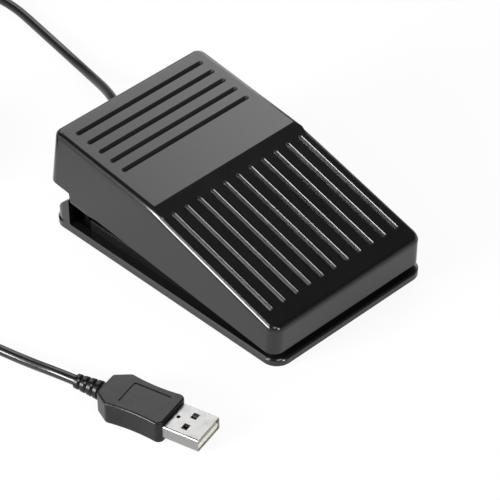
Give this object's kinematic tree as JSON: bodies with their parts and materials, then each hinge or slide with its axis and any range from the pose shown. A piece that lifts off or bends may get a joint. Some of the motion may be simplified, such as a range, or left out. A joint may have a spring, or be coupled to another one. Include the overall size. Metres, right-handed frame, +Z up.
{
  "type": "usb foot pedal switch",
  "caption": "Single foot pedal switch: hinged grooved plastic cover over a base tray, snap-action switch inside, cable with a USB-A plug.",
  "frame": {"origin": "on the floor, under the middle of the base tray", "axes": "+Z up; -Y to the low, hinged front where the toe rests, +Y to the high rear where the cable leaves; +X to the right"},
  "size_m": [0.1274, 0.2422, 0.0368],
  "materials": {
    "black_plastic": "satin moulded ABS",
    "black_rubber": "matte",
    "steel": "satin",
    "spring_steel": "satin",
    "bright_steel": "bright nickel",
    "switch_red": "matte",
    "switch_black": "matte",
    "white_nylon": "matte",
    "contact_brass": "bright",
    "board_green": "satin",
    "chip_black": "matte",
    "component_tin": "satin",
    "cable_black": "satin PVC",
    "wire_red": "satin",
    "wire_white": "satin",
    "wire_green": "satin",
    "wire_black": "satin"
  },
  "bodies": {
    "base": {"base_tray": "black_plastic", "rubber_foot_front_left": "black_rubber", "rubber_foot_front_right": "black_rubber", "rubber_foot_rear_left": "black_rubber", "rubber_foot_rear_right": "black_rubber", "hinge_pin": "steel", "return_spring_left": "spring_steel", "return_spring_right": "spring_steel", "switch_housing": "switch_black", "switch_terminals": "contact_brass", "switch_screws": "steel", "switch_wire_common": "wire_black", "switch_wire_signal": "wire_red", "circuit_board": "board_green", "controller_chip": "chip_black", "crystal": "component_tin", "capacitor": "component_tin", "resistors": "chip_black", "wire_connector": "white_nylon", "board_screws": "steel", "cable_clamp": "black_plastic", "clamp_screws": "steel", "strain_relief": "black_rubber", "conductor_red": "wire_red", "conductor_white": "wire_white", "conductor_green": "wire_green", "conductor_black": "wire_black", "cable_inside": "cable_black", "cable_rear_run": "cable_black", "cable_coil": "cable_black", "cable_ties": "black_rubber", "cable_plug_run": "cable_black", "plug_overmould": "black_rubber", "plug_shell": "bright_steel", "plug_insert": "white_nylon", "plug_contacts": "contact_brass"},
    "pedal": {"pedal_cover": "black_plastic"},
    "switch_lever_body": {"switch_lever": "steel"},
    "switch_plunger_body": {"switch_plunger": "switch_red"}
  },
  "joints": [
    {"name": "pedal_hinge", "type": "hinge", "parent": "base", "child": "pedal", "pos_m": [0, -0.04329, 0.00824], "axis": [-1, 0, 0], "range_deg": [0, 2], "stiffness_Nm_per_rad": 8.7, "springref_deg": -1.66, "deforming": ["return_spring_left", "return_spring_right"]},
    {"name": "switch_lever_pivot", "type": "hinge", "parent": "base", "child": "switch_lever_body", "pos_m": [0, 0.0062, 0.0201], "axis": [-1, 0, 0], "range_deg": [0, 8.8]},
    {"name": "switch_plunger_slide", "type": "slide", "parent": "base", "child": "switch_plunger_body", "axis": [0, 0, -1], "range_m": [0, 0.00078]}
  ],
  "couplings": [
    {"joint": "switch_lever_pivot", "follows": "pedal_hinge", "ratio": 4.35},
    {"joint": "switch_plunger_slide", "follows": "pedal_hinge", "m_per_rad": 0.02175}
  ]
}
